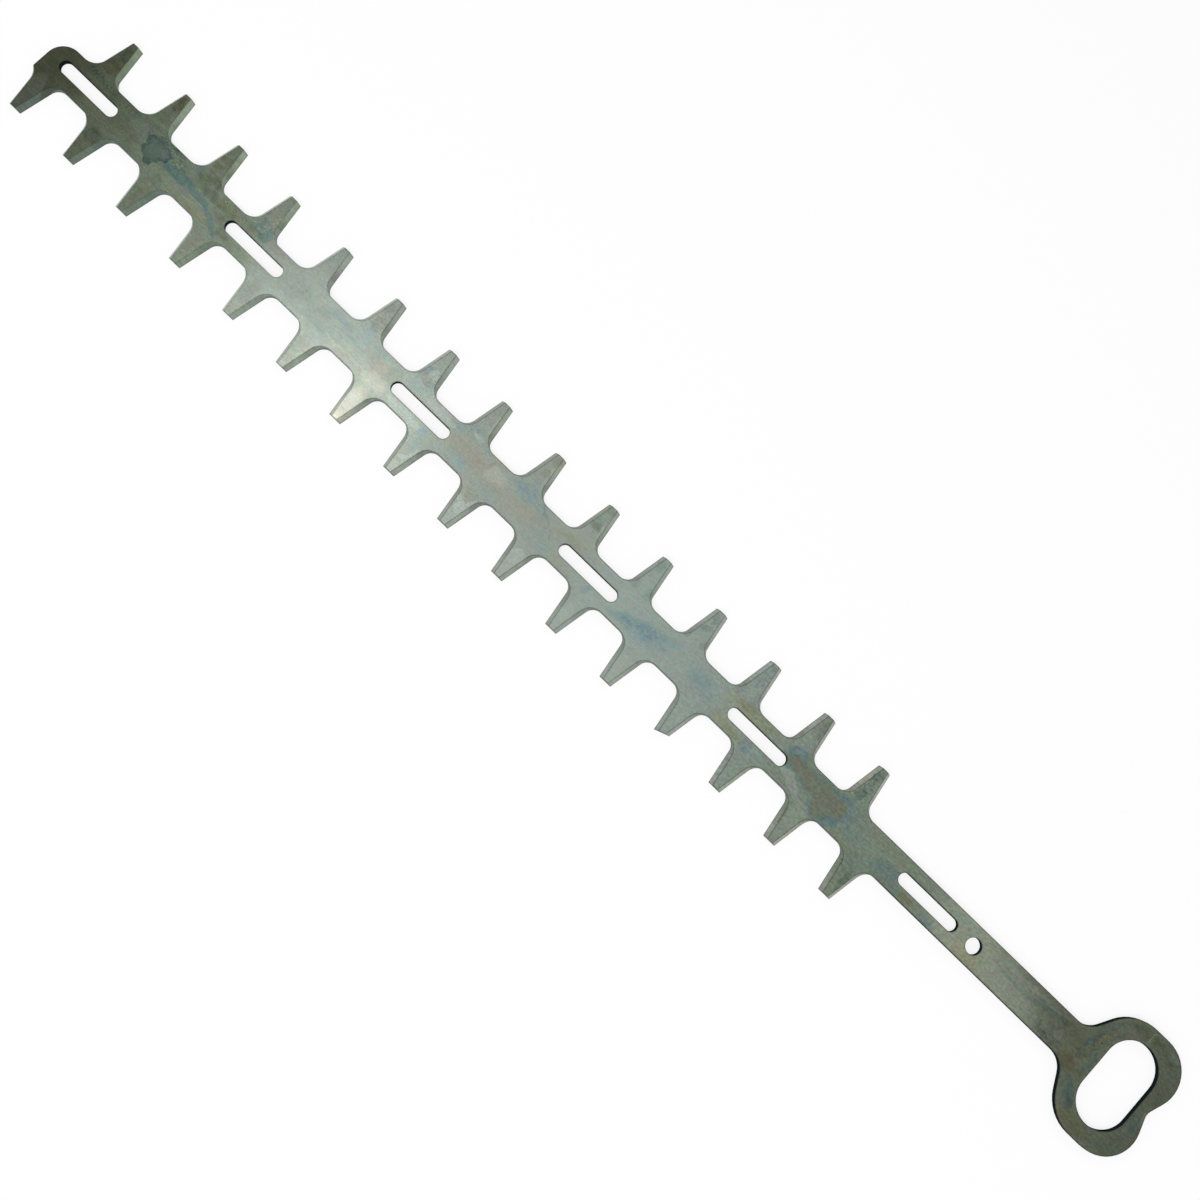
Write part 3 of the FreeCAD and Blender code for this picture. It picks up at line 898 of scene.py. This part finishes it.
    def gloss(self, tree, sizes, flat, grain, wall):
        """The roughness: it changes a little in patches and along the lines, and is high on the walls."""
        levels = [sizes.roughness + change for change in PATCH_ROUGHNESS]
        rough = tree.ramp(tree.noise(flat, GLOSS_SCALE, detail=3.0), *GLOSS_SPAN, *levels)
        lines = tree.math("MULTIPLY", tree.math("SUBTRACT", grain, NOISE_MIDDLE), LINE_ROUGHNESS)
        rough = tree.math("ADD", rough, lines)
        return tree.math("ADD", rough, tree.math("MULTIPLY", wall, WALL_ROUGHNESS), clamp=True)


# How upright a direction is where the room's walls pass into its ceiling
CEILING_BEGINS = (0.35, 0.8)


class BLADE_OT_set_stage(bpy.types.Operator):
    """Sets the floor, the soft light and the camera"""

    bl_idname = "blade.set_stage"
    bl_label = "Set the stage"

    def execute(self, context):
        stage = context.scene.blade_stage
        self.lay_floor(stage)
        self.light_room(stage)
        for box in SOFTBOXES:
            add_softbox(box)
        self.place_camera(context.scene, stage)
        context.scene.view_settings.view_transform = "Standard"
        return {"FINISHED"}

    def lay_floor(self, stage):
        """A pale floor that shows white to the camera and to the steel, and keeps the blade's shadow."""
        half = stage.floor_size / 2
        corners = [(-half, -half, 0.0), (half, -half, 0.0), (half, half, 0.0), (-half, half, 0.0)]
        mesh = bpy.data.meshes.new("floor")
        mesh.from_pydata(corners, [], [(0, 1, 2, 3)])
        floor = bpy.data.objects.new("floor", mesh)
        bpy.context.scene.collection.objects.link(floor)
        paint = bpy.data.materials.new("floor_paint")
        paint.use_nodes = True
        tree = ShaderTree(paint.node_tree)
        rays = tree.node("LightPath").outputs
        seen = tree.math("MAXIMUM", rays["Is Camera Ray"], rays["Is Glossy Ray"])
        seen = tree.math("MAXIMUM", seen, rays["Is Transmission Ray"])
        matt = tree.node("BsdfDiffuse", {"Color": (*stage.floor_colour, 1.0)})
        white = tree.node("Emission", {"Strength": 1.0})
        share = tree.math("MULTIPLY", seen, stage.floor_glow)
        mixed = tree.node("MixShader", {0: share, 1: matt.outputs[0], 2: white.outputs[0]})
        tree.node("OutputMaterial", {"Surface": mixed.outputs[0]})
        mesh.materials.append(paint)

    def light_room(self, stage):
        """A room with pale walls and a dim ceiling."""
        world = bpy.data.worlds.new("studio")
        bpy.context.scene.world = world
        world.use_nodes = True
        tree = ShaderTree(world.node_tree)
        direction = tree.node("TexCoord").outputs["Generated"]
        height = tree.parts(direction)["Z"]
        strength = tree.ramp(height, *CEILING_BEGINS, stage.horizon_light, stage.ceiling_light)
        room = tree.node("Background", {"Strength": strength})
        tree.node("OutputWorld", {"Surface": room.outputs[0]})

    def place_camera(self, scene, stage):
        """The camera looks down on the blade, turned as in the photograph."""
        data = bpy.data.cameras.new("camera")
        data.angle = stage.camera_angle
        camera = bpy.data.objects.new("camera", data)
        place = Vector(stage.camera_place)
        back = (place - Vector(stage.camera_aim)).normalized()
        upright = Vector((math.cos(stage.camera_turn), math.sin(stage.camera_turn), 0.0))
        right = upright.cross(back).normalized()
        turned = Matrix((right, back.cross(right), back)).transposed()
        camera.matrix_world = Matrix.Translation(place) @ turned.to_4x4()
        scene.collection.objects.link(camera)
        scene.camera = camera


class BLADE_PT_sidebar(bpy.types.Panel):
    """Lists the blade's finish and stage"""

    bl_label = "Hedge trimmer blade"
    bl_space_type = "VIEW_3D"
    bl_region_type = "UI"
    bl_category = "Blade"

    def draw(self, context):
        for operator, group in (
            (BLADE_OT_dress_steel, context.scene.blade_steel),
            (BLADE_OT_set_stage, context.scene.blade_stage),
        ):
            box = self.layout.box()
            box.operator(operator.bl_idname)
            for name in group.__annotations__:
                box.prop(group, name)


CLASSES = (BladeSteel, BladeStage, BLADE_OT_dress_steel, BLADE_OT_set_stage, BLADE_PT_sidebar)


def register():
    """Registers the classes and hangs the properties on the scene."""
    for made in CLASSES:
        bpy.utils.register_class(made)
    bpy.types.Scene.blade_steel = PointerProperty(type=BladeSteel)
    bpy.types.Scene.blade_stage = PointerProperty(type=BladeStage)


def unregister():
    """Takes the properties and the classes away again."""
    del bpy.types.Scene.blade_stage
    del bpy.types.Scene.blade_steel
    for made in reversed(CLASSES):
        bpy.utils.unregister_class(made)


def main():
    """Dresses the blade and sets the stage."""
    register()
    bpy.ops.blade.dress_steel()
    bpy.ops.blade.set_stage()


if __name__ == "__main__":
    main()
